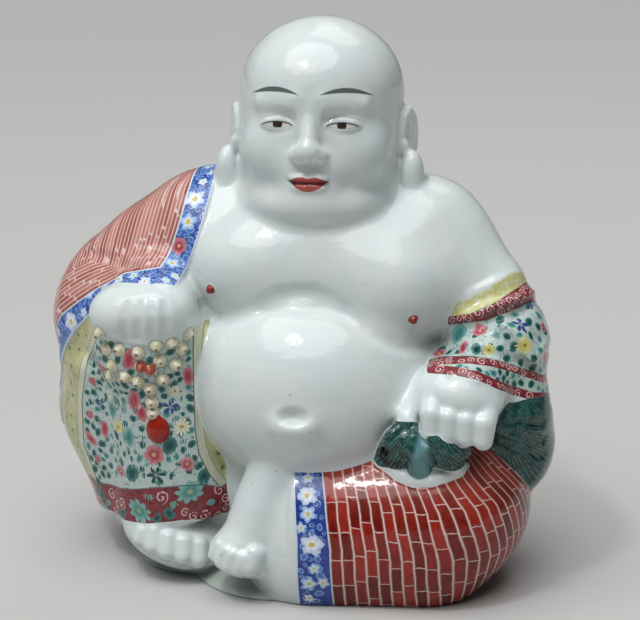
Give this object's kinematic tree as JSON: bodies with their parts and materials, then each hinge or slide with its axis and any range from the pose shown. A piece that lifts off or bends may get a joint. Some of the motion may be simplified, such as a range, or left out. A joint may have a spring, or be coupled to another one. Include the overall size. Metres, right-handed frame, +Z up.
{
  "type": "seated budai figure",
  "caption": "Seated laughing-monk figure in glazed, enamelled porcelain, with draped robes, a netted sack and a bead string.",
  "frame": {"origin": "centre of the bounding box's underside, on the ground the figure stands on", "axes": "+Z up, the figure faces -Y, its left knee and the netted sack lie towards +X"},
  "size_m": [0.245, 0.162, 0.2645],
  "materials": {
    "enamelled_porcelain": "bluish white high-gloss glaze, painted over with brick red, cobalt blue, rose, yellow and green enamels"
  },
  "bodies": {
    "root": {"budai_figure": "enamelled_porcelain"}
  },
  "joints": []
}
